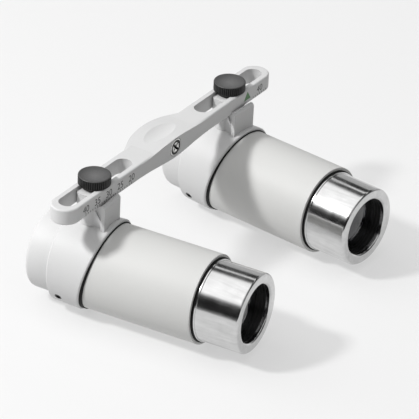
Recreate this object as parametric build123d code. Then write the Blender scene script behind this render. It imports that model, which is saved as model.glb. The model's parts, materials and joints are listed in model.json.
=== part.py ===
from build123d import *
import os
from math import copysign, cos, radians, sin, sqrt

# Binocular telescope unit of a pair of dental loupes. Millimetres, +Z up.
# +X runs along the bridge bar and -Y is the objective side, away from the wearer.
# The origin is the mouth of the frame socket, in the middle of the hub's back.

# Bridge bar
BAR_LENGTH = 94.5
BAR_WIDTH = 7.8
BAR_HEIGHT = 4.4
BAR_EDGE = 0.5
SLOT_WIDTH = 4.73
SLOT_INNER = 16.0
SLOT_OUTER = 44.9
HUB_REACH = 6.6
HUB_HALF = 15.5
HUB_SHOULDER = 8.5
HUB_SHOULDER_FALL = 1.2
HUB_RISE = 0.55
HUB_DROP = 0.8
DISH_DEPTH = 0.4
DISH_CROSS_RADIUS = 9.0
DISH_HALF_LENGTH = 10.5
DISH_OFFSET = 1.2

# Frame bush in the hub, and the screw that draws it in from the front
BUSH_RADIUS = 2.15
BUSH_LENGTH = 7.2
SOCKET_RADIUS = 1.55
SOCKET_DEPTH = 4.5
SCREW_HEAD_RADIUS = 2.35
SCREW_HEAD_HEIGHT = 1.5
SCREW_HEAD_PROUD = 0.15
SCREW_HEAD_CROWN = 0.4
SCREW_HEAD_FLAT = 1.85
SCREW_RECESS_RADIUS = 2.5
SCREW_SHANK_RADIUS = 1.0
SCREW_LENGTH = 6.0
SCREW_CLEARANCE = 0.1
CROSS_WIDTH = 0.75
CROSS_SPAN = 3.0
CROSS_DEPTH = 0.8

# Carriages
CARRIAGE_X = 31.0
CONVERGENCE = 5.34
TONGUE_LENGTH = 10.6
TONGUE_WIDTH = 4.6
TONGUE_CORNER = 1.5
TONGUE_GAP = 0.9
BOSS_RADIUS = 3.5
BOSS_GAP = 0.08
WEB_HALF = 2.55
GUSSET_HALF = 3.0
GUSSET_TOP = 1.2
PLATE_HALF = 4.0
PLATE_BACK = 4.35
PLATE_FRONT = 5.5
PLATE_TOP = -3.65
PLATE_CHAMFER = 0.6
PLATE_CHAMFER_FRONT = 0.48
ARM_CLEARANCE = 0.3
STUD_HOLE_RADIUS = 1.62
INSERT_RADIUS = 2.0
INSERT_BORE = 1.5
INSERT_LENGTH = 4.0
INSERT_DROP = 4.6

# Barrels, measured along the optical axis from under the slot, forwards
AXIS_DROP = 22.95
HOUSING_REAR = -6.6
HOUSING_FRONT = 3.9
HOUSING_TILT = 13.4
HOUSING_REAR_RADIUS = 12.3
HOUSING_FLARE = 0.04
HOUSING_BORE = 11.95
HOUSING_FLANGE = 4.4
HOUSING_FLANGE_BORE = 10.0
LIP_RADIUS = 0.45
LIP_BORE = 12.2
LIP_DEPTH = 1.2
TUBE_RADIUS = 11.9
TUBE_BORE = 10.9
TUBE_REAR = -2.1
TUBE_FRONT = 34.7
SEAL_LENGTH = 0.55
SEAL_RADIUS = 11.2
CELL_RADIUS = 10.65
CELL_COLLAR_RADIUS = 10.95
CELL_COLLAR_LENGTH = 0.45
CELL_FRONT = 47.5
CELL_APERTURE = 7.8
CELL_BORE = 8.8
CELL_LIP = 1.3
CELL_CHAMFER = 0.45
CELL_APERTURE_CHAMFER = 0.3
CELL_SPIGOT_RADIUS = 10.85
CELL_SPIGOT_LENGTH = 6.0
CAP_REAR = -13.8
CAP_STEP_RADIUS = 10.86
CAP_REAR_RADIUS = 10.63
CAP_ROUND = 1.2
CAP_SPIGOT_RADIUS = 9.95
CAP_SPIGOT_FRONT = -1.0
CAP_BORE = 8.7
CAP_APERTURE = 7.6
CAP_LIP = 1.2

# Optics
RING_RADIUS = 8.66
RING_BORE = 7.7
LENS_RADIUS = 8.6
FACE_RADIUS = 7.4
EYE_LENS_REAR = -10.6
EYE_LENS_FRONT = -8.0
FIELD_LENS_REAR = -4.6
FIELD_LENS_FRONT = -2.6
EYE_LENS_REAR_SAG = 0.5
EYE_LENS_FRONT_SAG = 1.4
FIELD_LENS_SAG = 1.2
STOP_LENGTH = 0.8
STOP_BORE = 6.0
HOLDER_RADIUS = 10.85
HOLDER_REAR = 1.5
HOLDER_FRONT = 27.5
CHANNEL_WIDTH = 11.2
CHANNEL_HEIGHT = 16.4
PRISM_FACE = 11.0
PRISM_GAP = 0.4
HOLDER_RIM = 1.2
PRISM_SETBACK = 1.6
ROOF_RISE = 2.2
ROOF_RUN = 3.0
HALF_PRISM_LENGTH = 9.5
OBJECTIVE_RADIUS = 8.72
OBJECTIVE_FRONT = 43.6
CROWN_THICKNESS = 3.0
FLINT_THICKNESS = 1.8
CROWN_SAG = 0.9
FLINT_SAG = 0.25
BAFFLE_BORE = 7.75
BAFFLE_RADIUS = 8.76
BAFFLE_STEP = 0.12
BAFFLE_STEPS = 3
RETAINER_LENGTH = 2.0
RETAINER_RADIUS = 8.77

# Clamp: double-D collar, knob and stud
COLLAR_RADIUS = 3.3
COLLAR_HEIGHT = 0.85
COLLAR_WIDTH = 4.6
COLLAR_BORE = 1.52
KNOB_RADIUS = 4.26
KNOB_HEIGHT = 2.6
KNOB_LIFT = 0.02
KNOB_DISH = 0.45
KNOB_RIM = 0.45
KNOB_CHAMFER = 0.25
KNURL_COUNT = 48
KNURL_CUTTER = 0.21
KNURL_STANDOFF = 0.056
STUD_RADIUS = 1.45
STUD_LENGTH = 8.6
STUD_GRIP = 1.3

# Grub screws
GRUB_RADIUS = 0.8
GRUB_LENGTH = 1.6
GRUB_SUNK = 0.6
GRUB_AXIAL = -3.6
GRUB_ANGLE = 122.0
HEX_RADIUS = 0.45
HEX_DEPTH = 0.7

SIDES = {"left": -1, "right": 1}
BAR_TOP = BAR_HEIGHT / 2
BAR_BOTTOM = -BAR_HEIGHT / 2
AXIS_Z = BAR_TOP - AXIS_DROP
SLOT_LINE = -HUB_REACH
ARM_FOOT = -AXIS_DROP + HOUSING_BORE + ARM_CLEARANCE
FROM_BASE = (Align.CENTER, Align.CENTER, Align.MIN)

def save(shape, name):
    """Write one sub-part as its own file."""
    shape.label = name
    export_step(shape, f"parts/{name}.step")


def turned(points):
    """A solid of revolution about Z from (radius, height) corners."""
    line = Polyline(*[(r, 0, h) for r, h in points], close=True)
    return revolve(make_face(line), Axis.Z)


def ring(outer, inner, rear, front):
    return turned([(inner, rear), (outer, rear), (outer, front), (inner, front)])


def dome(radius, height, sag):
    """Arc from the rim to the axis, square to the axis there; sag is positive upwards."""
    curve = (radius ** 2 + sag ** 2) / (2 * sag)
    half = radius / 2
    drop = curve - copysign(sqrt(curve ** 2 - half ** 2), curve)
    return ThreePointArc((radius, 0, height), (half, 0, height + sag - drop), (0, 0, height + sag))


def lens(radius, rear, front, rear_sag, front_sag):
    """A round lens: flat rim for its rings, and a polished face on each side within them."""
    edge = [Polyline((FACE_RADIUS, 0, rear), (radius, 0, rear), (radius, 0, front),
                     (FACE_RADIUS, 0, front))]
    for height, sag in ((front, front_sag), (rear, -rear_sag)):
        if sag:
            edge.append(dome(FACE_RADIUS, height, sag))
        else:
            edge.append(Line((FACE_RADIUS, 0, height), (0, 0, height)))
    edge.append(Line((0, 0, rear - rear_sag), (0, 0, front + front_sag)))
    return revolve(make_face(edge), Axis.Z)


def barrel(side):
    """Barrel coordinates: Z forwards along the optical axis, X up, origin under the slot line."""
    turn = radians(CONVERGENCE)
    forwards = (-side * sin(turn), -cos(turn), 0)
    return Plane(origin=(side * CARRIAGE_X, SLOT_LINE, AXIS_Z), x_dir=(0, 0, 1), z_dir=forwards)


def on_barrel(side, shape):
    return barrel(side).location * shape


def on_bar(side, shape):
    """Place a shape drawn round the stud axis, with z = 0 at the bar's top face."""
    return Pos(side * CARRIAGE_X, SLOT_LINE, BAR_TOP) * shape


def hub_block():
    """Bulge in the middle of the bar: a plan outline crossed with an arched front outline."""
    front = -BAR_WIDTH / 2
    start = (-HUB_HALF, BAR_WIDTH / 2 - BAR_EDGE)
    end = (HUB_HALF, BAR_WIDTH / 2 - BAR_EDGE)
    shoulder = HUB_REACH - HUB_SHOULDER_FALL
    back = Spline(start, (-HUB_SHOULDER, shoulder), (0, HUB_REACH), (HUB_SHOULDER, shoulder), end,
                  tangents=[(1, 0), (1, 0)])
    sides = Polyline(end, (HUB_HALF, front), (-HUB_HALF, front), start)
    plan = extrude(Pos(0, 0, -BAR_HEIGHT) * make_face(back + sides), 2 * BAR_HEIGHT)
    corner = BAR_TOP - BAR_EDGE / 2
    upper = Spline((-HUB_HALF, corner), (0, BAR_TOP + HUB_RISE), (HUB_HALF, corner),
                   tangents=[(1, 0), (1, 0)])
    lower = Spline((HUB_HALF, -corner), (0, BAR_BOTTOM - HUB_DROP), (-HUB_HALF, -corner),
                   tangents=[(-1, 0), (-1, 0)])
    right = Line((HUB_HALF, corner), (HUB_HALF, -corner))
    left = Line((-HUB_HALF, -corner), (-HUB_HALF, corner))
    arch = make_face(upper + right + lower + left)
    return plan & extrude(Plane.XZ * arch, 2 * HUB_REACH, both=True)


def thumb_dish():
    """Shallow elongated hollow in the hub's top face."""
    hub_top = BAR_TOP + HUB_RISE
    waist = DISH_CROSS_RADIUS - 2 * DISH_DEPTH
    outline = ThreePointArc((-2 * DISH_HALF_LENGTH, waist), (0, DISH_CROSS_RADIUS),
                            (2 * DISH_HALF_LENGTH, waist))
    ends = Polyline((2 * DISH_HALF_LENGTH, waist), (2 * DISH_HALF_LENGTH, 0),
                    (-2 * DISH_HALF_LENGTH, 0), (-2 * DISH_HALF_LENGTH, waist))
    tool = revolve(make_face(outline + ends), Axis.X)
    return Pos(0, DISH_OFFSET, hub_top - DISH_DEPTH + DISH_CROSS_RADIUS) * tool


def bridge_bar():
    blank = Pos(0, 0, BAR_BOTTOM) * SlotOverall(BAR_LENGTH, BAR_WIDTH)
    bar = extrude(blank, BAR_HEIGHT)
    rims = bar.faces().filter_by(Axis.Z).edges()
    bar = fillet(rims, BAR_EDGE)
    bar += hub_block()
    bar -= thumb_dish()
    middle = (SLOT_INNER + SLOT_OUTER) / 2
    slot_length = SLOT_OUTER - SLOT_INNER
    slot = extrude(Pos(0, 0, BAR_BOTTOM) * SlotOverall(slot_length, SLOT_WIDTH), BAR_HEIGHT)
    for side in SIDES.values():
        bar -= Pos(side * middle, 0, 0) * slot
    bore = Cylinder(BUSH_RADIUS, BUSH_LENGTH, align=FROM_BASE)
    recess = Cylinder(SCREW_RECESS_RADIUS, SCREW_HEAD_HEIGHT, align=FROM_BASE)
    through = Cylinder(SCREW_SHANK_RADIUS + SCREW_CLEARANCE, 2 * HUB_REACH)
    bar -= Pos(0, HUB_REACH, 0) * Rot(90, 0, 0) * bore
    bar -= Pos(0, -BAR_WIDTH / 2, 0) * Rot(-90, 0, 0) * recess
    bar -= Rot(90, 0, 0) * through
    return Pos(0, SLOT_LINE, 0) * bar


def frame_bush():
    """Metal bush in the hub: open socket at the back, screw thread at the front."""
    bush = turned([(SOCKET_RADIUS, 0), (BUSH_RADIUS, 0), (BUSH_RADIUS, -BUSH_LENGTH),
                   (SCREW_SHANK_RADIUS, -BUSH_LENGTH), (SCREW_SHANK_RADIUS, -SOCKET_DEPTH),
                   (SOCKET_RADIUS, -SOCKET_DEPTH)])
    return Rot(-90, 0, 0) * bush


def centre_screw():
    """Pan screw with a cross recess; its head is drawn upwards and then turned to face forwards."""
    under = SCREW_HEAD_HEIGHT
    top = SCREW_HEAD_PROUD
    head = turned([(0, top), (SCREW_HEAD_FLAT, top), (SCREW_HEAD_RADIUS, top - SCREW_HEAD_CROWN),
                   (SCREW_HEAD_RADIUS, -under), (SCREW_SHANK_RADIUS, -under),
                   (SCREW_SHANK_RADIUS, -SCREW_LENGTH), (0, -SCREW_LENGTH)])
    for angle in (45, 135):
        arm = Box(CROSS_SPAN, CROSS_WIDTH, 2 * CROSS_DEPTH)
        head -= Pos(0, 0, top) * Rot(0, 0, angle) * arm
    return Pos(0, SLOT_LINE - BAR_WIDTH / 2, 0) * Rot(90, 0, 0) * head


def ahead_of(edge):
    """Everything in front of the housing's tilted front plane, which leans forwards at the top."""
    size = 6 * HOUSING_BORE
    return Pos(0, 0, edge) * Rot(0, -HOUSING_TILT, 0) * Box(size, size, size, align=FROM_BASE)


def housing(side):
    """Rear housing: flared ring with a tilted, rounded front lip and a thick flange at the back."""
    top = 3 * HOUSING_FRONT
    seat = HOUSING_REAR + HOUSING_FLANGE
    front_radius = HOUSING_REAR_RADIUS + HOUSING_FLARE * (top - HOUSING_REAR)
    wall = turned([(HOUSING_BORE, seat), (HOUSING_FLANGE_BORE, seat),
                   (HOUSING_FLANGE_BORE, HOUSING_REAR), (HOUSING_REAR_RADIUS - LIP_RADIUS, HOUSING_REAR),
                   (HOUSING_REAR_RADIUS, HOUSING_REAR + LIP_RADIUS), (front_radius, top),
                   (HOUSING_BORE, top)])
    wall -= ahead_of(HOUSING_FRONT)
    lip = wall.faces().sort_by(Axis.Z)[-1].outer_wire().edges()
    wall = fillet(lip, LIP_RADIUS)
    relief = Cylinder(LIP_BORE, 2 * top, align=FROM_BASE) & ahead_of(HOUSING_FRONT - LIP_DEPTH)
    return on_barrel(side, wall - relief)


def grub_place(side):
    """Axis of the grub screw, pointing outwards: from the top round towards -X on both housings."""
    return barrel(side).location * Rot(0, 0, GRUB_ANGLE) * Pos(0, 0, GRUB_AXIAL) * Rot(0, 90, 0)


def upright_plate(side):
    """Front plate, web and gussets, square to the optical axis."""
    mid = (PLATE_BACK + PLATE_FRONT) / 2
    plate = Box(2 * PLATE_HALF, PLATE_FRONT - PLATE_BACK, PLATE_TOP - ARM_FOOT)
    top_front = plate.edges().filter_by(Axis.X).group_by(Axis.Z)[-1].sort_by(Axis.Y)[0]
    plate = chamfer(top_front, PLATE_CHAMFER, PLATE_CHAMFER_FRONT)
    plate = Pos(0, -mid, (PLATE_TOP + ARM_FOOT) / 2) * plate
    under = -BAR_HEIGHT - BOSS_GAP
    web = Box(2 * WEB_HALF, PLATE_BACK, under - ARM_FOOT)
    web = Pos(0, -PLATE_BACK / 2, (under + ARM_FOOT) / 2) * web
    toe = -(PLATE_BACK + PLATE_FRONT) / 2
    slope = Polyline((0, under), (-GUSSET_TOP, under), (toe, ARM_FOOT), (0, ARM_FOOT),
                     close=True)
    gusset = extrude(Plane.YZ * make_face(slope), GUSSET_HALF, both=True)
    turn = Rot(0, 0, -side * CONVERGENCE)
    return on_bar(side, turn * (plate + web + gusset))


def carrier(side):
    """One moulding: tongue in the slot, boss, front plate with gussets, and rear housing."""
    under = -BAR_HEIGHT - BOSS_GAP
    outline = RectangleRounded(TONGUE_LENGTH, TONGUE_WIDTH, TONGUE_CORNER)
    tongue = extrude(Pos(0, 0, under) * outline, -TONGUE_GAP - under)
    boss = Pos(0, 0, (ARM_FOOT + under) / 2) * Cylinder(BOSS_RADIUS, under - ARM_FOOT)
    body = on_bar(side, tongue + boss) + upright_plate(side) + housing(side)
    seat = HOUSING_REAR + HOUSING_FLANGE
    tube_room = Cylinder(HOUSING_BORE, 4 * HOUSING_FRONT, align=FROM_BASE)
    body -= on_barrel(side, Pos(0, 0, seat) * tube_room)
    body -= on_bar(side, Cylinder(STUD_HOLE_RADIUS, 2 * INSERT_DROP))
    pocket = Pos(0, 0, -INSERT_DROP - INSERT_LENGTH / 2) * Cylinder(INSERT_RADIUS, INSERT_LENGTH)
    body -= on_bar(side, pocket)
    return body - grub_place(side) * Cylinder(GRUB_RADIUS, HOUSING_REAR_RADIUS + 1, align=FROM_BASE)


def thread_insert(side):
    nut = Cylinder(INSERT_RADIUS, INSERT_LENGTH) - Cylinder(INSERT_BORE, INSERT_LENGTH)
    return on_bar(side, Pos(0, 0, -INSERT_DROP - INSERT_LENGTH / 2) * nut)


def grub_screw(side):
    """Headless screw with a hexagon socket, sunk in the housing's thick rear wall."""
    socket = extrude(RegularPolygon(HEX_RADIUS, 6), HEX_DEPTH)
    screw = Cylinder(GRUB_RADIUS, GRUB_LENGTH, align=FROM_BASE)
    screw -= Pos(0, 0, GRUB_LENGTH - HEX_DEPTH) * socket
    seat = HOUSING_REAR_RADIUS - GRUB_SUNK - GRUB_LENGTH
    return grub_place(side) * Pos(0, 0, seat) * screw


def barrel_tube(side):
    return on_barrel(side, ring(TUBE_RADIUS, TUBE_BORE, TUBE_REAR, TUBE_FRONT))


def seal_ring(side):
    return on_barrel(side, ring(SEAL_RADIUS, CELL_SPIGOT_RADIUS, TUBE_FRONT,
                                TUBE_FRONT + SEAL_LENGTH))


def objective_cell(side):
    """Polished cell: threaded spigot inside the tube, thin collar, bevelled nose with an inner lip."""
    shoulder = TUBE_FRONT + SEAL_LENGTH
    collar = shoulder + CELL_COLLAR_LENGTH
    back = TUBE_FRONT - CELL_SPIGOT_LENGTH
    lip = CELL_FRONT - CELL_LIP
    cell = turned([(CELL_BORE, back), (CELL_SPIGOT_RADIUS, back), (CELL_SPIGOT_RADIUS, shoulder),
                   (CELL_COLLAR_RADIUS, shoulder), (CELL_COLLAR_RADIUS, collar),
                   (CELL_RADIUS, collar), (CELL_RADIUS, CELL_FRONT - CELL_CHAMFER),
                   (CELL_RADIUS - CELL_CHAMFER, CELL_FRONT),
                   (CELL_APERTURE + CELL_APERTURE_CHAMFER, CELL_FRONT),
                   (CELL_APERTURE, CELL_FRONT - CELL_APERTURE_CHAMFER),
                   (CELL_APERTURE, lip), (CELL_BORE, lip)])
    return on_barrel(side, cell)


def objective_baffle(side):
    """Black stepped ring between the cell's lip and the objective."""
    front = CELL_FRONT - CELL_LIP
    rim_front = OBJECTIVE_FRONT
    pitch = (front - rim_front) / BAFFLE_STEPS
    points = [(BAFFLE_RADIUS, rim_front), (BAFFLE_RADIUS, front)]
    for step in range(BAFFLE_STEPS):
        bore = BAFFLE_BORE - step * BAFFLE_STEP
        points.append((bore, front - step * pitch))
        points.append((bore, front - (step + 1) * pitch))
    return on_barrel(side, turned(points))


def objective_crown(side):
    rear = OBJECTIVE_FRONT - CROWN_THICKNESS
    return on_barrel(side, lens(OBJECTIVE_RADIUS, rear, OBJECTIVE_FRONT, 0, CROWN_SAG))


def objective_flint(side):
    front = OBJECTIVE_FRONT - CROWN_THICKNESS
    return on_barrel(side, lens(OBJECTIVE_RADIUS, front - FLINT_THICKNESS, front, FLINT_SAG, 0))


def objective_retainer(side):
    front = OBJECTIVE_FRONT - CROWN_THICKNESS - FLINT_THICKNESS
    return on_barrel(side, ring(RETAINER_RADIUS, RING_BORE, front - RETAINER_LENGTH, front))


def prism_holder(side):
    """Black cylinder with a rectangular channel that holds the two erecting prisms."""
    length = HOLDER_FRONT - HOLDER_REAR
    block = Cylinder(HOLDER_RADIUS, length) - Box(CHANNEL_HEIGHT, CHANNEL_WIDTH, length)
    rim = ring(HOLDER_RADIUS, RING_BORE, 0, HOLDER_RIM)
    shell = Pos(0, 0, (HOLDER_REAR + HOLDER_FRONT) / 2) * block
    shell = shell + Pos(0, 0, HOLDER_REAR) * rim + Pos(0, 0, HOLDER_FRONT - HOLDER_RIM) * rim
    return on_barrel(side, shell)


def prism_pair():
    """Outlines of the roof prism and the half prism in the plane of up and forwards."""
    half = PRISM_FACE / 2
    rear = HOLDER_REAR + PRISM_SETBACK
    split = rear + PRISM_FACE
    edge = half + ROOF_RISE
    bend = rear + ROOF_RUN
    roof = [(-half, rear), (half, rear), (edge, bend), (-half, split)]
    slope = PRISM_GAP + (split - bend)
    front = split + HALF_PRISM_LENGTH
    offset = [(edge, bend + PRISM_GAP), (edge, bend + slope),
              (half, front), (-half, front), (-half, split + PRISM_GAP)]
    return roof, offset


def prism_solid(outline):
    """Glass block across the channel from a closed outline of (up, forwards) corners."""
    face = make_face(Polyline(*[(up, 0, ahead) for up, ahead in outline], close=True))
    return extrude(face, PRISM_FACE / 2, both=True)


def roof_prism(side):
    return on_barrel(side, prism_solid(prism_pair()[0]))


def half_prism(side):
    return on_barrel(side, prism_solid(prism_pair()[1]))


def eyepiece_cap(side):
    """Rear cap with a rounded edge and a spigot through the housing's flange."""
    rear = CAP_REAR
    corner = CAP_REAR_RADIUS - CAP_ROUND
    inset = CAP_ROUND * (1 - 1 / sqrt(2))
    arc_mid = (CAP_REAR_RADIUS - inset, 0, rear + inset)
    outline = [
        Polyline((CAP_APERTURE, 0, rear), (corner, 0, rear)),
        ThreePointArc((corner, 0, rear), arc_mid, (CAP_REAR_RADIUS, 0, rear + CAP_ROUND)),
        Polyline((CAP_REAR_RADIUS, 0, rear + CAP_ROUND), (CAP_STEP_RADIUS, 0, HOUSING_REAR),
                 (CAP_SPIGOT_RADIUS, 0, HOUSING_REAR), (CAP_SPIGOT_RADIUS, 0, CAP_SPIGOT_FRONT),
                 (CAP_BORE, 0, CAP_SPIGOT_FRONT), (CAP_BORE, 0, rear + CAP_LIP),
                 (CAP_APERTURE, 0, rear + CAP_LIP), (CAP_APERTURE, 0, rear)),
    ]
    return on_barrel(side, revolve(make_face(outline), Axis.Z))


def eyepiece_retainer(side):
    return on_barrel(side, ring(RING_RADIUS, RING_BORE, CAP_REAR + CAP_LIP, EYE_LENS_REAR))


def eye_lens(side):
    return on_barrel(side, lens(LENS_RADIUS, EYE_LENS_REAR, EYE_LENS_FRONT, EYE_LENS_REAR_SAG,
                           EYE_LENS_FRONT_SAG))


def eyepiece_spacer(side):
    return on_barrel(side, ring(RING_RADIUS, RING_BORE, EYE_LENS_FRONT, FIELD_LENS_REAR))


def field_lens(side):
    return on_barrel(side, lens(LENS_RADIUS, FIELD_LENS_REAR, FIELD_LENS_FRONT, FIELD_LENS_SAG, 0))


def field_stop(side):
    return on_barrel(side, ring(RING_RADIUS, STOP_BORE, FIELD_LENS_FRONT,
                                FIELD_LENS_FRONT + STOP_LENGTH))


def clamp_collar(side):
    """Washer with two flats that runs in the slot under the knob."""
    disc = Cylinder(COLLAR_RADIUS, COLLAR_HEIGHT) & Box(3 * COLLAR_RADIUS, COLLAR_WIDTH, COLLAR_HEIGHT)
    disc -= Cylinder(COLLAR_BORE, COLLAR_HEIGHT)
    return on_bar(side, Pos(0, 0, KNOB_LIFT - COLLAR_HEIGHT / 2) * disc)


def thumb_knob(side):
    """Knurled knob with a dished top and a bevelled lower edge."""
    top = KNOB_HEIGHT
    rim = KNOB_RADIUS - KNOB_RIM
    outline = [
        Polyline((STUD_RADIUS, 0, 0), (KNOB_RADIUS - KNOB_CHAMFER, 0, 0),
                 (KNOB_RADIUS, 0, KNOB_CHAMFER), (KNOB_RADIUS, 0, top - KNOB_CHAMFER),
                 (KNOB_RADIUS - KNOB_CHAMFER, 0, top), (rim, 0, top)),
        dome(rim, top, -KNOB_DISH),
        Polyline((0, 0, top - KNOB_DISH), (0, 0, STUD_GRIP), (STUD_RADIUS, 0, STUD_GRIP),
                 (STUD_RADIUS, 0, 0)),
    ]
    knob = revolve(make_face(outline), Axis.Z)
    groove = extrude(RegularPolygon(KNURL_CUTTER, 4), top)
    groove = Pos(KNOB_RADIUS + KNURL_STANDOFF, 0, 0) * groove
    grooves = [Rot(0, 0, turn * 360 / KNURL_COUNT) * groove for turn in range(KNURL_COUNT)]
    knob = knob - grooves
    return on_bar(side, Pos(0, 0, KNOB_LIFT) * knob)


def knob_stud(side):
    """Threaded stud from inside the knob down into the brass insert."""
    stud = Cylinder(STUD_RADIUS, STUD_LENGTH, align=(Align.CENTER, Align.CENTER, Align.MAX))
    return on_bar(side, Pos(0, 0, KNOB_LIFT + STUD_GRIP) * stud)


PAIRED = [carrier, thread_insert, grub_screw, eyepiece_cap, eyepiece_retainer, eye_lens,
          eyepiece_spacer, field_lens, field_stop, prism_holder, roof_prism, half_prism,
          barrel_tube, seal_ring, objective_cell, objective_baffle, objective_crown,
          objective_flint, objective_retainer, clamp_collar, thumb_knob, knob_stud]

os.makedirs("parts", exist_ok=True)
save(bridge_bar(), "bridge_bar")
save(frame_bush(), "frame_bush")
save(centre_screw(), "centre_screw")
for side_name, side in SIDES.items():
    for make in PAIRED:
        save(make(side), f"{side_name}_{make.__name__}")
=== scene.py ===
# %% [markdown]
# # Loupes: a binocular telescope unit on a slotted bridge bar
#
# Two short telescopes hang under a white bar. Each is clamped by a black thumb knob and can be slid along
# its slot to suit the distance between the wearer's pupils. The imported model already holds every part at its
# real size and place, so this lesson only adds what the eye wants: rounded edges, knurling, printed marks,
# polished and moulded finishes, glass, and a quiet studio.

# %% Load the fixed frame
import json
from math import atan2, cos, pi, radians, sin, sqrt, tau

import bmesh
import bpy
from mathutils import Matrix, Vector


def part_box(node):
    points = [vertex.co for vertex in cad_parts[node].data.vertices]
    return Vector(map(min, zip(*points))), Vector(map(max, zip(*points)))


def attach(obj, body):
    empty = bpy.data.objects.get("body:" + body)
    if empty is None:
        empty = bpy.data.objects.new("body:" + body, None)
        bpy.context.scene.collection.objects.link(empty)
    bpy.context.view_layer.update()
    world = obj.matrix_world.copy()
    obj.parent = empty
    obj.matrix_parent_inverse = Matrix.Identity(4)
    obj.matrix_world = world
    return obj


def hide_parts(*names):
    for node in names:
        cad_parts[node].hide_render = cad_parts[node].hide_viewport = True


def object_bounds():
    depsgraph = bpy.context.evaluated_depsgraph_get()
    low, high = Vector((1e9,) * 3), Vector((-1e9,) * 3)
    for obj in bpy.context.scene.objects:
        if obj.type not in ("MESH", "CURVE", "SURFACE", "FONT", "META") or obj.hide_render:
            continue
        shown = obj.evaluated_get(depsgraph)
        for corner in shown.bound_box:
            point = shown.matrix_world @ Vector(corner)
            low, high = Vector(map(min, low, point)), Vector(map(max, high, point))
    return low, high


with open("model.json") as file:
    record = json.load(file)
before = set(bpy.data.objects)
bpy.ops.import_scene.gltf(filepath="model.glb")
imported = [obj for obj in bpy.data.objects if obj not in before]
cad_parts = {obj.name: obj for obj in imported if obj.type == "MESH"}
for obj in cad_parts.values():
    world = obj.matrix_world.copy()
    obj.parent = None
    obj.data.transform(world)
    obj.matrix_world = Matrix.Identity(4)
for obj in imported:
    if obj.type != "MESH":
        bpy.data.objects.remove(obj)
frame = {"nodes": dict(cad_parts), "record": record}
CAD_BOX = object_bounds()
MM = 0.001
SIDES = {"left": -1, "right": 1}
print("CAD box in millimetres:", [[round(x / MM, 1) for x in corner] for corner in CAD_BOX])

# %% [markdown]
# The two barrels aren't parallel: they turn inwards so that both look at the same spot. The objective rims are
# stated as mounts in the record, so their axes give each barrel's direction with no measuring. Everything round
# on a barrel can then be drawn about the Z axis and carried there by one matrix.

# %% Find the two barrels
MOUNTS = {mount["name"]: mount for mount in frame["record"]["mounts"]}


def barrel_matrix(side_name):
    """From a drawing about Z, with Z forwards and X up, to that side's barrel."""
    rim = MOUNTS[f"{side_name}_objective_rim"]
    forwards = Vector(rim["axis"]).normalized()
    up = Vector((0, 0, 1))
    turn = Matrix((up, forwards.cross(up), forwards)).transposed().to_4x4()
    knob_low, knob_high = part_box(f"{side_name}_thumb_knob")
    under_knob = (knob_low + knob_high) / 2
    on_axis = Vector(rim["pos_m"])
    back = (on_axis.y - under_knob.y) / forwards.y
    return Matrix.Translation(on_axis - forwards * back) @ turn


BARREL = {name: barrel_matrix(name) for name in SIDES}
for name, matrix in BARREL.items():
    print(name, "barrel crosses under its knob at", [round(x / MM, 2) for x in matrix.translation])

# %% [markdown]
# ## Shader sums in Python
#
# A material is a graph of nodes, and a wall of node-linking calls is hard to read. One small class wraps a
# socket so that sums on surfaces look like sums, and one method of it makes any other node.


# %% A socket that can be used in sums
class Socket:
    """An output socket of a node tree that takes part in sums with numbers and with other sockets."""

    def __init__(self, tree, link):
        self.tree = tree
        self.link = link

    def node(self, kind, settings=None, inputs=None, output=0):
        """Make a node: its settings first, then the values or links of its sockets."""
        made = self.tree.nodes.new(kind)
        for key, value in (settings or {}).items():
            if key == "stops":
                ramp = made.color_ramp.elements
                while len(ramp) < len(value):
                    ramp.new(0.5)
                for element, (position, colour) in zip(ramp, value):
                    element.position = position
                    element.color = colour
            else:
                setattr(made, key, value)
        for key, value in (inputs or {}).items():
            if isinstance(value, Socket):
                self.tree.links.new(value.link, made.inputs[key])
            else:
                made.inputs[key].default_value = value
        return Socket(self.tree, made.outputs[output]) if made.outputs else None

    def sum(self, operation, *values):
        inputs = {index: value for index, value in enumerate(values)}
        return self.node("ShaderNodeMath", {"operation": operation}, inputs)

    def __add__(self, other):
        return self.sum("ADD", self, other)

    __radd__ = __add__

    def __sub__(self, other):
        return self.sum("SUBTRACT", self, other)

    def __rsub__(self, other):
        return self.sum("SUBTRACT", other, self)

    def __mul__(self, other):
        return self.sum("MULTIPLY", self, other)

    __rmul__ = __mul__

    def __truediv__(self, other):
        return self.sum("DIVIDE", self, other)


def grey(value):
    return (value, value, value, 1)


# %% [markdown]
# Every finish starts with an empty graph and the place of the shaded point on the object, and ends on one
# Principled shader. What changes over the surface is worked out in between, so these few helpers are shared.


# %% Start a material and finish it on a Principled shader
def new_material(name):
    """An empty material, and the object coordinates that its pattern reads."""
    material = bpy.data.materials.new(name)
    material.use_nodes = True
    tree = material.node_tree
    tree.nodes.clear()
    place = Socket(tree, None).node("ShaderNodeTexCoord", output="Object")
    return material, place


def finish_material(material, place, varying, constants):
    """Link what varies, set what doesn't, and close the graph."""
    shader = place.node("ShaderNodeBsdfPrincipled", inputs={**constants, **varying})
    place.node("ShaderNodeOutputMaterial", inputs={"Surface": shader})
    print("finish:", material.name)
    return material


def cloud(place, size, detail=3.0):
    """Soft random values from 0 to 1 whose patches are about size metres across."""
    return place.node("ShaderNodeTexNoise", inputs={"Vector": place, "Scale": 1 / size, "Detail": detail})


def blend(low, high, factor):
    """A colour between two colours, chosen by a value from 0 to 1."""
    return factor.node("ShaderNodeMix", {"data_type": "RGBA"}, {0: factor, 6: low, 7: high}, output=2)


def bump(height, depth):
    """A normal tilted by a height of at most depth metres."""
    return height.node("ShaderNodeBump", inputs={"Height": height, "Distance": depth, "Strength": 1.0})


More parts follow.
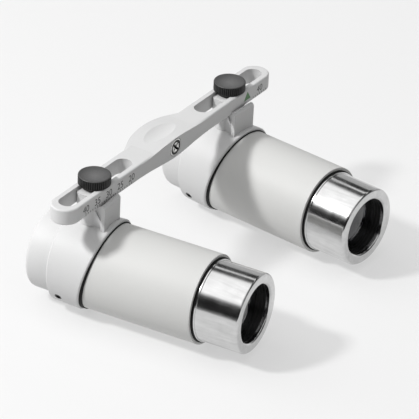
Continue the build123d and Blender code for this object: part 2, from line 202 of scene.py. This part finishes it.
# %% [markdown]
# ## Finishes
#
# The bar, the carriers and the rear caps are moulded in white polyamide: a satin surface with a grain too fine
# to see as grain, only as a soft sheen that breaks up a little. The tubes are enamelled metal, smoother and
# slightly glossier. Two sizes of noise drive roughness and bump; colour changes by a percent or two.


# %% Moulded white plastic and white enamel
def moulded_plastic(name, tone, roughness, grain):
    material, place = new_material(name)
    patches = cloud(place, 9 * MM)
    fine = cloud(place, grain, 2.0)
    colour = blend(grey(tone * 0.97), grey(tone), patches)
    varying = {"Base Color": colour, "Roughness": roughness + 0.08 * (patches - 0.5) + 0.05 * (fine - 0.5),
               "Normal": bump(fine, 0.02 * MM)}
    return finish_material(material, place, varying, {"IOR": 1.5, "Specular IOR Level": 0.4})


def enamel(name):
    material, place = new_material(name)
    patches = cloud(place, 14 * MM)
    orange_peel = cloud(place, 1.1 * MM, 1.0)
    colour = blend((0.52, 0.52, 0.51, 1), (0.54, 0.54, 0.53, 1), patches)
    varying = {"Base Color": colour, "Roughness": 0.55 + 0.08 * (patches - 0.5),
               "Normal": bump(orange_peel, 0.006 * MM)}
    return finish_material(material, place, varying, {"IOR": 1.5, "Specular IOR Level": 0.35})


WHITE_PLASTIC = moulded_plastic("white_plastic", 0.55, 0.55, 0.35 * MM)
WHITE_ENAMEL = enamel("white_enamel")

# %% [markdown]
# Black parts come in four kinds: the collars' plain plastic, the anodised rings inside the cells, rubber, and
# blackened steel. One helper makes them all from a tone, a roughness and a grain. The knobs follow in a cell of
# their own. Steel and brass are turned, so fine scratches break up their shine.


# %% Black finishes, steel and brass
def dark_finish(name, tone, roughness, grain, depth, gloss=0.5):
    material, place = new_material(name)
    fine = cloud(place, grain, 3.0)
    patches = cloud(place, 4 * MM)
    colour = blend(grey(tone * 0.7), grey(tone * 1.25), patches)
    varying = {"Base Color": colour, "Roughness": roughness + 0.12 * (patches - 0.5),
               "Normal": bump(fine, depth)}
    return finish_material(material, place, varying, {"IOR": 1.5, "Specular IOR Level": gloss})


def turned_metal(name, colour, roughness):
    material, place = new_material(name)
    scratches = cloud(place, 0.25 * MM, 4.0)
    patches = cloud(place, 5 * MM)
    dull = tuple(0.9 * part for part in colour[:3]) + (1,)
    varying = {"Base Color": blend(dull, colour, patches),
               "Roughness": roughness + 0.1 * (scratches - 0.5),
               "Normal": bump(scratches, 0.002 * MM)}
    return finish_material(material, place, varying, {"Metallic": 1.0})


BLACK_PLASTIC = dark_finish("black_plastic", 0.015, 0.5, 0.3 * MM, 0.01 * MM)
BLACK_RING = dark_finish("black_anodised", 0.008, 0.38, 0.15 * MM, 0.004 * MM)
# Rubber also makes the black band under each housing's lip: painted shadow.
RUBBER_AND_SHADOW = dark_finish("black_rubber_and_painted_shadow", 0.003, 0.65, 0.4 * MM, 0.015 * MM, 0.2)
STEEL = turned_metal("plated_steel", (0.86, 0.86, 0.85, 1), 0.28)
# Blackened steel also darkens the screw head's recess and the grub hole: painted shade.
BLACK_STEEL_AND_SHADE = dark_finish("blackened_steel_and_painted_shade", 0.006, 0.45, 0.2 * MM, 0.004 * MM)
BRASS = turned_metal("turned_brass", (0.72, 0.52, 0.22, 1), 0.3)

# %% [markdown]
# The ridges of a knob's side are painted grey as a highlight while the grooves stay black, and the middle of
# its top is painted paler as a highlight and made shinier than the rim. Both follow from one number, the
# distance from the knob's axis, which is worked out from object coordinates. The two knobs mirror each other,
# so one sum serves both.


# %% Painted highlights on the side and top of the knobs
KNOB_RADIUS = 4.26
GROOVE_DEPTH = 0.24
RING_PITCH = 0.05 * MM


def knob_radius(place):
    """Distance from the axis of the nearer knob, in metres."""
    knob_low, knob_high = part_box("left_thumb_knob")
    axis = (knob_low + knob_high) / 2
    across = place.node("ShaderNodeSeparateXYZ", inputs={0: place}, output=0)
    along = place.node("ShaderNodeSeparateXYZ", inputs={0: place}, output=1)
    beside = across.sum("ABSOLUTE", across) - abs(axis.x)
    ahead = along - axis.y
    return across.sum("SQRT", beside * beside + ahead * ahead)


def share_between(value, start, end):
    """0 below start, 1 above end, and an even rise between."""
    return value.node("ShaderNodeMapRange", inputs={0: value, 1: start, 2: end})


def worn_side(name):
    material, place = new_material(name)
    groove = KNOB_RADIUS - 0.75 * GROOVE_DEPTH
    ridge = share_between(knob_radius(place), groove * MM, (KNOB_RADIUS - 0.02) * MM)
    scuffs = cloud(place, 0.5 * MM, 4.0)
    # The ridges are painted lighter than the grooves: a painted highlight on the knurl.
    colour = blend(grey(0.001), grey(0.03), ridge * (0.5 + scuffs))
    varying = {"Base Color": colour, "Roughness": 0.55 - 0.15 * ridge, "Normal": bump(scuffs, 0.01 * MM)}
    return finish_material(material, place, varying, {"IOR": 1.5, "Specular IOR Level": 0.3})


def rubbed_top(name):
    material, place = new_material(name)
    radius = knob_radius(place)
    share = share_between(radius, 0, (KNOB_RADIUS - 0.06) * MM)
    rings = radius.sum("SINE", radius / RING_PITCH)
    scuffs = cloud(place, 0.8 * MM, 5.0)
    # The top is painted paler than the side as sheen, and palest in the middle as a highlight.
    colour = blend(grey(0.13), grey(0.045), share + 0.3 * (scuffs - 0.5))
    varying = {"Base Color": colour, "Roughness": 0.3 + 0.14 * share + 0.1 * (scuffs - 0.5),
               "Normal": bump(rings, 0.002 * MM)}
    return finish_material(material, place, varying, {"IOR": 1.5})


KNOB_BLACK = worn_side("knob_side_painted_highlight")
KNOB_TOP = rubbed_top("knob_top_painted_sheen")

# %% [markdown]
# A polished cell mirrors the studio, so almost all of its look comes from what stands round it. The finish only
# adds faint streaks drawn out along the barrel and the clouds that hands leave. The lenses are coated, so they
# look dark, and the prisms inside are clear glass.


# %% Polished cell and glass
def polished(name):
    """Bright metal with faint streaks along the barrel and a few cloudy handling marks."""
    material, place = new_material(name)
    drawn_out = place.node("ShaderNodeMapping", inputs={"Vector": place, "Scale": (1, 0.05, 1)})
    streaks = cloud(drawn_out, 0.9 * MM, 4.0)
    smear = cloud(place, 3 * MM, 5.0)
    colour = blend(grey(0.42), grey(0.78), 0.6 * streaks + 0.4 * smear)
    roughness = 0.04 + 0.14 * smear + 0.1 * streaks
    varying = {"Base Color": colour, "Roughness": roughness, "Normal": bump(streaks, 0.006 * MM)}
    return finish_material(material, place, varying, {"Metallic": 1.0})


def glass(name, tint):
    material, place = new_material(name)
    smear = cloud(place, 8 * MM)
    varying = {"Roughness": 0.02 * smear}
    constants = {"Base Color": tint, "Transmission Weight": 1.0, "IOR": 1.52, "Coat Weight": 0.3,
                 "Coat Roughness": 0.02}
    return finish_material(material, place, varying, constants)


POLISHED = polished("polished_metal")
LENS_GLASS = glass("coated_glass", (0.3, 0.29, 0.34, 1))
PRISM_GLASS = glass("prism_glass", (0.9, 0.93, 0.92, 1))

# %% [markdown]
# The record gives every part a material slot. One table says which finish a slot gets, so a part that is
# drawn again below takes the same finish as the one it stands for.

# %% Give every CAD node its finish by its material slot
SLOT_FINISH = {"bar_plastic": WHITE_PLASTIC, "housing_plastic": WHITE_PLASTIC, "tube_enamel": WHITE_ENAMEL,
               "polished_cell": POLISHED, "knob_plastic": KNOB_BLACK, "black_plastic": BLACK_PLASTIC,
               "black_ring": BLACK_RING, "seal_rubber": RUBBER_AND_SHADOW, "lens_glass": LENS_GLASS,
               "prism_glass": PRISM_GLASS, "screw_steel": STEEL, "bush_steel": STEEL,
               "black_screw": BLACK_STEEL_AND_SHADE, "brass": BRASS}
SLOT_OF = {row["node"]: row["material_slot"] for row in frame["record"]["subparts"]}
for node_name, node in frame["nodes"].items():
    node.data.materials.clear()
    node.data.materials.append(SLOT_FINISH[SLOT_OF[node_name]])
print(len(frame["nodes"]), "CAD nodes have a finish")

# %% [markdown]
# ## Turned pieces
#
# Tubes, cells, rings and caps are lathe work, and the lathe tool here is spin: an outline in the plane of
# radius and length, turned round the axis. The outline is first filled as one flat face so that bevel can round
# its corners, each by its own radius, and only its edge is spun. Rounded corners matter more than any texture:
# they are what catches the light along a rim.


# %% Helpers that draw, turn and place a piece
def outline(corners):
    """A closed outline in the XZ plane from (radius, length, rounding) in millimetres."""
    build = bmesh.new()
    verts = [build.verts.new((radius, 0, length)) for radius, length, _ in corners]
    build.faces.new(verts)
    for rounding in sorted({corner[2] for corner in corners if corner[2]}):
        chosen = [vert for vert, corner in zip(verts, corners) if corner[2] == rounding]
        bmesh.ops.bevel(build, geom=chosen, offset=rounding, offset_type="OFFSET", segments=4, profile=0.5,
                        affect="VERTICES", material=-1)
    bmesh.ops.delete(build, geom=build.faces[:], context="FACES_ONLY")
    return build


def turn_round(build, steps):
    """Spin the outline once round Z and close the seam and the poles."""
    on_axis = [edge for edge in build.edges if all(abs(vert.co.x) < 1e-6 for vert in edge.verts)]
    bmesh.ops.delete(build, geom=on_axis, context="EDGES")
    bmesh.ops.spin(build, geom=build.verts[:] + build.edges[:], axis=(0, 0, 1), cent=(0, 0, 0), angle=tau,
                   steps=steps, use_merge=True)
    bmesh.ops.remove_doubles(build, verts=build.verts[:], dist=1e-4)
    bmesh.ops.recalc_face_normals(build, faces=build.faces[:])


def place_piece(name, build, matrix, material, body, stands_for=None, crease=35):
    """Close a bmesh drawn in millimetres as a finished, smooth shaded piece on its body."""
    bmesh.ops.transform(build, matrix=matrix @ Matrix.Scale(MM, 4), verts=build.verts[:])
    mesh = bpy.data.meshes.new(name)
    build.to_mesh(mesh)
    build.free()
    mesh.shade_smooth()
    mesh.set_sharp_from_angle(angle=radians(crease))
    mesh.materials.append(material)
    piece = bpy.data.objects.new(name, mesh)
    bpy.context.scene.collection.objects.link(piece)
    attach(piece, body)
    if stands_for:
        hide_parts(stands_for)
    print(name, "with", len(mesh.polygons), "faces, sides", [round(x / MM, 2) for x in piece.dimensions])
    return piece


FINE = 192


def turned(side_name, node_name, corners):
    """A lathe piece on a barrel that stands for one CAD node and takes its slot's finish."""
    build = outline(corners)
    turn_round(build, FINE)
    node = f"{side_name}_{node_name}"
    slot = SLOT_OF[node]
    return place_piece(f"{node}_turned", build, BARREL[side_name], SLOT_FINISH[slot],
                       f"{side_name}_carriage", node)


# %% [markdown]
# ### Tube, seal and polished cell
#
# The tube is plain, with its front edge just broken. A black seal ring shows as a thin dark line between it and
# the cell. The cell is the jewel of the object: a low collar, a long polished barrel, a rounded front shoulder,
# a flat front, and a small bevel into the bore.

# %% Turn the tube, the seal and the cell
TUBE = [(10.9, -2.1, 0), (11.9, -2.1, 0), (11.9, 34.7, 0.12), (10.9, 34.7, 0.05)]
SEAL = [(10.86, 34.7, 0), (11.2, 34.7, 0.12), (11.2, 35.25, 0.12), (10.86, 35.25, 0)]
CELL = [(8.8, 28.7, 0), (10.85, 28.7, 0), (10.85, 35.25, 0), (10.95, 35.25, 0.08), (10.95, 35.7, 0.12),
        (10.65, 35.7, 0.06), (10.65, 47.12, 0.3), (10.2, 47.5, 0.25), (8.25, 47.5, 0.12), (7.8, 47.2, 0.1),
        (7.8, 46.2, 0), (8.8, 46.2, 0)]
for name in SIDES:
    turned(name, "barrel_tube", TUBE)
    turned(name, "seal_ring", SEAL)
    turned(name, "objective_cell", CELL)

# %% [markdown]
# ### Baffle and rear cap
#
# Just inside the cell's lip is a black ring cut in fine steps. Steps send stray light back out instead of onto
# the lens, and from outside they are the thin bright arcs in the dark bore. The rear cap is moulded, with one
# generous round where it meets the eye side.

# %% Turn the stepped baffle and the rear cap
BAFFLE_REAR = 43.6
BAFFLE_FRONT = 46.2
BAFFLE_OUTSIDE = 8.76
BAFFLE_BORE = 7.75
BAFFLE_STEPS = 3
BORE_LOSS = 0.12
pitch = (BAFFLE_FRONT - BAFFLE_REAR) / BAFFLE_STEPS
BAFFLE = [(BAFFLE_OUTSIDE, BAFFLE_REAR, 0), (BAFFLE_OUTSIDE, BAFFLE_FRONT, 0)]
for step in range(BAFFLE_STEPS):
    bore = BAFFLE_BORE - BORE_LOSS * step
    BAFFLE += [(bore, BAFFLE_FRONT - step * pitch, 0.03), (bore, BAFFLE_FRONT - (step + 1) * pitch, 0)]
CAP = [(7.6, -13.8, 0.15), (10.63, -13.8, 1.2), (10.86, -6.6, 0.05), (9.95, -6.6, 0), (9.95, -1.0, 0),
       (8.7, -1.0, 0), (8.7, -12.6, 0), (7.6, -12.6, 0.1)]
for name in SIDES:
    turned(name, "objective_baffle", BAFFLE)
    turned(name, "eyepiece_cap", CAP)

# %% [markdown]
# ### Thumb knobs
#
# A knob is turned like the rest, and then its side is knurled. The side is spun in small steps, six to a
# groove, and every sixth column of points is pressed in. The top is dished, so a fingertip finds it. Faces that
# point up take a paler finish, a painted sheen with a painted highlight in its middle, and faint turning rings.

# %% Turn and knurl the knobs
KNOB_GROOVES = 48
COLUMNS = 6
TOP_FACING = 0.6
KNOB = [(0, 2.15, 0), (1.35, 2.19, 0.3), (2.6, 2.32, 0.5), (3.62, 2.53, 0.4), (3.86, 2.6, 0.1),
        (4.12, 2.6, 0.12), (KNOB_RADIUS, 2.42, 0.08), (KNOB_RADIUS, 0.22, 0.05), (4.04, 0, 0.05),
        (1.47, 0, 0), (1.47, 1.28, 0), (0, 1.28, 0)]


def knurl(build):
    """Press every sixth column of the side inwards, and its neighbours nearly half as far."""
    flank = 0.45 * GROOVE_DEPTH
    depth_at = {0: GROOVE_DEPTH, 1: flank, COLUMNS - 1: flank}
    for vert in build.verts:
        radius = sqrt(vert.co.x ** 2 + vert.co.y ** 2)
        if radius > KNOB_RADIUS - 0.02:
            column = round(atan2(vert.co.y, vert.co.x) / tau * COLUMNS * KNOB_GROOVES) % COLUMNS
            shrink = 1 - depth_at.get(column, 0) / radius
            vert.co.x *= shrink
            vert.co.y *= shrink


for name in SIDES:
    build = outline(KNOB)
    turn_round(build, COLUMNS * KNOB_GROOVES)
    knurl(build)
    # Faces that point up take the paler top finish: painted sheen and highlight.
    for face in build.faces:
        face.material_index = int(face.normal.z > TOP_FACING)
    knob_low, knob_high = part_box(f"{name}_thumb_knob")
    axis = (knob_low + knob_high) / 2
    knob_place = Matrix.Translation((axis.x, axis.y, knob_low.z))
    knob = place_piece(f"{name}_knob_knurled", build, knob_place, KNOB_BLACK, f"{name}_knob",
                       f"{name}_thumb_knob", crease=50)
    knob.data.materials.append(KNOB_TOP)

# %% [markdown]
# ### Marks on the bar
#
# The front of the bar carries a scale for the distance of each barrel from the middle, in millimetres, and a
# green index triangle. They are printed, so each mark is a film a few hundredths of a millimetre thick on the
# face of the bar. The numbers are text turned into mesh before it is put in place.

# %% Print the scale and the index triangle
FILM = 0.02
BAR_LOW, BAR_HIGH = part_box("bridge_bar")
SCALES = {"left": range(20, 41), "right": range(37, 44)}
FACE_PLACE = Matrix.Translation((0, BAR_LOW.y, 0))
TICK_WIDTH = 0.2
TICK_LINE = -1.35
LONG_TICK = 0.75
SHORT_TICK = 0.45
NUMBER_LINE = -0.75
NUMBER_SIZE = 2.7


def printed(name, tone):
    material, place = new_material(name)
    worn = cloud(place, 0.5 * MM)
    dark = tuple(0.85 * part for part in tone[:3]) + (1,)
    return finish_material(material, place, {"Base Color": blend(dark, tone, worn)}, {"Roughness": 0.55})


INK = printed("grey_ink", grey(0.055))
GREEN_INK = printed("green_ink", (0.07, 0.2, 0.07, 1))


def thicken(build, by):
    """Give a flat face a thickness by drawing it out."""
    grown = bmesh.ops.extrude_face_region(build, geom=build.faces[:])["geom"]
    verts = [part for part in grown if isinstance(part, bmesh.types.BMVert)]
    bmesh.ops.translate(build, vec=by, verts=verts)


def film(build, width, height, x, z):
    """A thin printed bar on the face."""
    shape = Matrix.Translation((x, 0, z)) @ Matrix.Diagonal((width, 2 * FILM, height, 1))
    bmesh.ops.create_cube(build, size=1, matrix=shape)


def number(text, x, z, size):
    """A number as a flat mesh on the face, read from the front."""
    curve = bpy.data.curves.new("number", "FONT")
    curve.body = text
    curve.size = size
    curve.align_x = "CENTER"
    curve.extrude = FILM
    letters = bpy.data.objects.new("number", curve)
    mesh = bpy.data.meshes.new_from_object(letters)
    mesh.transform(Matrix.Translation((x, 0, z)) @ Matrix.Rotation(pi / 2, 4, "X"))
    bpy.data.objects.remove(letters)
    return mesh


INDEX_AT = 34
INDEX_WIDTH = 3.2
INDEX_HEIGHT = 2.4
INDEX_BASE = -0.8
for name, side in SIDES.items():
    build = bmesh.new()
    for mark in SCALES[name]:
        numbered = mark % 5 == 0
        film(build, TICK_WIDTH, LONG_TICK if numbered else SHORT_TICK, side * mark, TICK_LINE)
        if numbered:
            numeral = number(str(mark), side * mark, NUMBER_LINE, NUMBER_SIZE)
            build.from_mesh(numeral)
            bpy.data.meshes.remove(numeral)
    place_piece(f"{name}_scale", build, FACE_PLACE, INK, "bridge")

build = bmesh.new()
bmesh.ops.create_circle(build, cap_ends=True, segments=3, radius=1)
upright = Matrix.Rotation(pi / 2, 4, "X")
stretched = Matrix.Diagonal((INDEX_WIDTH / sqrt(3), 1, INDEX_HEIGHT / 1.5, 1))
triangle = Matrix.Translation((INDEX_AT, -FILM, INDEX_BASE + INDEX_HEIGHT / 3)) @ stretched @ upright
bmesh.ops.transform(build, matrix=triangle, verts=build.verts[:])
thicken(build, (0, 2 * FILM, 0))
bmesh.ops.recalc_face_normals(build, faces=build.faces[:])
place_piece("index_triangle", build, FACE_PLACE, GREEN_INK, "bridge")

# %% [markdown]
# ### Screw in the middle of the bar
#
# The screw has a bright rim, a black ring and a bright middle with a cross recess; the black ring and the black
# well are painted shade, where the head sits deep in its recess. The recess is made the easy way round: the
# head is turned with a black well in its middle, and four bright pads stand in the well and leave the cross
# between them, so nothing has to be cut.

# %% Turn the screw head in painted shade and its rim
HEAD = [(0, -0.75, 0), (1.42, -0.75, 0), (1.42, 0.01, 0.04), (2.06, 0.01, 0), (2.06, -1.5, 0), (1.0, -1.5, 0),
        (1.0, -6.0, 0.2), (0, -6.0, 0)]
RIM = [(2.06, -1.5, 0), (2.35, -1.5, 0), (2.35, 0.04, 0.08), (2.06, 0.1, 0.04)]
SCREW_STEPS = 64
screw_low, screw_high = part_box("centre_screw")
screw_axis = (screw_low + screw_high) / 2
SCREW_PLACE = Matrix.Translation((screw_axis.x, BAR_LOW.y, screw_axis.z)) @ Matrix.Rotation(pi / 2, 4, "X")
build = outline(HEAD)
turn_round(build, SCREW_STEPS)
# The head's black ring and well are the painted shade of its recess.
place_piece("centre_screw_shaded_head", build, SCREW_PLACE, BLACK_STEEL_AND_SHADE, "bridge", "centre_screw")
build = outline(RIM)
turn_round(build, SCREW_STEPS)
place_piece("centre_screw_rim", build, SCREW_PLACE, STEEL, "bridge")

# %% Stand four pads in the well
PAD_RADIUS = 1.4
PAD_HEIGHT = 0.8
PAD_FLOOR = -0.7
SLOT_HALF = 0.3


def head_pad(build):
    """One quarter of the head's middle, between two arms of the cross."""
    bmesh.ops.create_circle(build, cap_ends=True, segments=48, radius=PAD_RADIUS)
    for normal in ((1, 0, 0), (0, 1, 0)):
        at = tuple(SLOT_HALF * part for part in normal)
        bmesh.ops.bisect_plane(build, geom=build.verts[:] + build.edges[:] + build.faces[:], plane_co=at,
                               plane_no=normal, clear_inner=True)
    thicken(build, (0, 0, PAD_HEIGHT))
    bmesh.ops.recalc_face_normals(build, faces=build.faces[:])
    rim = [edge for edge in build.edges if all(vert.co.z > PAD_HEIGHT - 0.01 for vert in edge.verts)]
    bmesh.ops.bevel(build, geom=rim, offset=0.08, segments=2, profile=0.5, affect="EDGES", material=-1)


for quarter in range(4):
    build = bmesh.new()
    head_pad(build)
    pad_place = (SCREW_PLACE @ Matrix.Rotation(radians(45 + 90 * quarter), 4, "Z")
                 @ Matrix.Translation((0, 0, PAD_FLOOR * MM)))
    place_piece(f"centre_screw_pad_{quarter + 1}", build, pad_place, STEEL, "bridge")

# %% [markdown]
# ### Painted shadow under the housing's lip
#
# The lip of the housing leans forwards at the top, and in front of it a dark line runs round the tube: the
# shade of the lip's unlit front and the shadow it casts on the tube. It is painted in as a thin black band: a
# ring turned too long and then cut off by a plane that leans a little less than the lip, so that the line is
# widest below.

# %% Turn the painted shadow band and cut it on the slant
LIP_FRONT = 3.9
SHADOW_BAND_PROUD = 0.7
SHADOW_BAND_TILT = radians(11.5)
LIP_SHADOW_BAND = [(11.92, -0.6, 0), (12.17, -0.6, 0), (12.17, 9.0, 0), (11.92, 9.0, 0)]
for name in SIDES:
    build = outline(LIP_SHADOW_BAND)
    turn_round(build, FINE)
    bmesh.ops.bisect_plane(build, geom=build.verts[:] + build.edges[:] + build.faces[:],
                           plane_co=(0, 0, LIP_FRONT + SHADOW_BAND_PROUD),
                           plane_no=(-sin(SHADOW_BAND_TILT), 0, cos(SHADOW_BAND_TILT)), clear_outer=True)
    rims = [edge for edge in build.edges if edge.is_boundary]
    bmesh.ops.bridge_loops(build, edges=rims)
    bmesh.ops.recalc_face_normals(build, faces=build.faces[:])
    # A black band round the tube in front of the lip: painted shadow.
    place_piece(f"{name}_lip_shadow_band", build, BARREL[name], RUBBER_AND_SHADOW, f"{name}_carriage")

# %% [markdown]
# ### Thread in the grub screw's hole
#
# On the lower side of each housing a tiny headless screw sits below the surface. Its threaded hole reads as a
# black dot of shade, so the hole gets a black sleeve with fine threads: painted shade.

# %% Turn the threaded sleeve of painted shade
GRUB_AXIAL = -3.6
GRUB_ANGLE = radians(122)
SLEEVE_FROM = 11.7
SLEEVE_TO = 12.44
SLEEVE_RADIUS = 1.0
SLEEVE_THREADS = 3
SLEEVE_STEPS = 40
THREAD_CREST = 0.66
THREAD_ROOT = 0.72
SLEEVE = [(SLEEVE_RADIUS, SLEEVE_FROM, 0), (SLEEVE_RADIUS, SLEEVE_TO, 0.03)]
thread = (SLEEVE_TO - SLEEVE_FROM) / SLEEVE_THREADS
for lap in range(SLEEVE_THREADS):
    SLEEVE += [(THREAD_CREST, SLEEVE_TO - lap * thread, 0), (THREAD_ROOT, SLEEVE_TO - (lap + 0.5) * thread, 0)]
SLEEVE.append((THREAD_CREST, SLEEVE_FROM, 0))
for name in SIDES:
    build = outline(SLEEVE)
    turn_round(build, SLEEVE_STEPS)
    radial = (Matrix.Translation((0, 0, GRUB_AXIAL * MM)) @ Matrix.Rotation(GRUB_ANGLE, 4, "Z")
              @ Matrix.Rotation(pi / 2, 4, "Y"))
    # A black sleeve in the hole: painted shade.
    place_piece(f"{name}_grub_hole_shade_sleeve", build, BARREL[name] @ radial, BLACK_STEEL_AND_SHADE, f"{name}_carriage")

# %% [markdown]
# ## Studio
#
# The pale floor lies just under the housings, and glows a little so that it stays pale all over. The key light
# stands behind and above, to the left, so tops are bright, fronts are grey, and the bar drops a shadow with a
# soft edge on each barrel.

# %% Floor and key light
FLOOR_DROP = 0.2 * MM
FLOOR_GLOW = 0.5
FLOOR_SIZE = 1.2
mesh = bpy.data.meshes.new("floor")
build = bmesh.new()
bmesh.ops.create_grid(build, x_segments=1, y_segments=1, size=FLOOR_SIZE)
build.to_mesh(mesh)
build.free()
mesh.transform(Matrix.Translation((0, 0, CAD_BOX[0][2] - FLOOR_DROP)))
floor = bpy.data.objects.new("floor", mesh)
bpy.context.scene.collection.objects.link(floor)
floor_material, floor_place = new_material("floor")
finish_material(floor_material, floor_place,
                {"Base Color": blend(grey(0.29), grey(0.3), cloud(floor_place, 0.2))},
                {"Roughness": 0.9, "Emission Color": grey(1), "Emission Strength": FLOOR_GLOW})
mesh.materials.append(floor_material)

CENTRE = Vector((0.024, -0.02, -0.018))


def add_light(name, direction, distance, size, power):
    """An area light on the sphere round the object, aimed at its middle."""
    light = bpy.data.lights.new(name, "AREA")
    light.size = size
    light.energy = power
    lamp = bpy.data.objects.new(name, light)
    towards = Vector(direction).normalized()
    lamp.matrix_world = (Matrix.Translation(CENTRE + towards * distance)
                         @ towards.to_track_quat("Z", "Y").to_matrix().to_4x4())
    bpy.context.scene.collection.objects.link(lamp)
    print(name, "light of", power, "watts stands", distance, "metres off")


add_light("key", (-0.56, 0.46, 0.69), distance=0.9, size=0.1, power=7.0)

# %% [markdown]
# The rest of the light is a dome. A long bright bank runs overhead along the barrels, with dark gaps on both
# sides of it, one thin bright strip in the right gap, and a pale wall low on the right. Towards the front the
# dome fades, so white fronts fall to grey by themselves. The polished cells mirror all this as the bright and
# dark bands that tell the eye they are metal.

# %% A dome with a bright bank overhead
DOME_STOPS = [(0.0, grey(0.4)), (0.15, grey(0.4)), (0.17, grey(0.03)), (0.25, grey(0.03)), (0.265, grey(0.9)),
              (0.28, grey(0.9)), (0.295, grey(0.05)), (0.35, grey(0.05)), (0.4, grey(1.0)), (0.74, grey(1.0)),
              (0.79, grey(0.05)), (0.84, grey(0.01)), (0.96, grey(0.01)), (1.0, grey(0.2))]
DOME_STRENGTH = 1.42
SHADE_FROM = 0.25
SHADE_FULL = 0.6
FRONT_LIGHT = 0.3
world = bpy.data.worlds.new("studio")
bpy.context.scene.world = world
world.use_nodes = True
sky = world.node_tree
sky.nodes.clear()
direction = Socket(sky, None).node("ShaderNodeTexCoord")
across = direction.node("ShaderNodeSeparateXYZ", inputs={0: direction}, output=0)
height = direction.node("ShaderNodeSeparateXYZ", inputs={0: direction}, output=2)
round_the_bank = height.sum("ARCTAN2", height, across) / pi
dome = height.node("ShaderNodeValToRGB", {"stops": DOME_STOPS}, {0: round_the_bank})
towards_front = direction.node("ShaderNodeSeparateXYZ", inputs={0: direction}, output=1) * -1
fade = {0: towards_front, 1: SHADE_FROM, 2: SHADE_FULL, 3: 1, 4: FRONT_LIGHT}
shade = towards_front.node("ShaderNodeMapRange", inputs=fade)
light = dome.node("ShaderNodeBackground", inputs={"Color": dome, "Strength": DOME_STRENGTH * shade})
light.node("ShaderNodeOutputWorld", inputs={"Surface": light})
bpy.context.scene.view_settings.view_transform = "Standard"
print("dome with", len(DOME_STOPS), "stops at strength", DOME_STRENGTH)

# %% [markdown]
# A long lens from the front left and above keeps the two barrels nearly the same size and shows the tops of the
# knobs and the fronts of the cells at once. The camera is tilted a few degrees, so the bar climbs across the
# frame.

# %% Camera at the product view
AZIMUTH = radians(-58.0)
ELEVATION = radians(30.8)
ROLL = radians(3.09)
DISTANCE = 0.9337
LENS = 298.6
AIM = Vector((0.02435, -0.0066, -0.03172))


def place_camera():
    back = Vector((sin(AZIMUTH) * cos(ELEVATION), -cos(AZIMUTH) * cos(ELEVATION), sin(ELEVATION)))
    right = Vector((cos(AZIMUTH), sin(AZIMUTH), 0))
    up = back.cross(right)
    tilted_right = cos(ROLL) * right + sin(ROLL) * up
    tilted_up = cos(ROLL) * up - sin(ROLL) * right
    turn = Matrix((tilted_right, tilted_up, back)).transposed().to_4x4()
    data = bpy.data.cameras.new("camera")
    data.sensor_width = 36
    data.lens = LENS
    camera = bpy.data.objects.new("camera", data)
    camera.matrix_world = Matrix.Translation(AIM + back * DISTANCE) @ turn
    bpy.context.scene.collection.objects.link(camera)
    bpy.context.scene.camera = camera
    print("camera", DISTANCE, "metres off with a lens of", LENS, "mm")


place_camera()
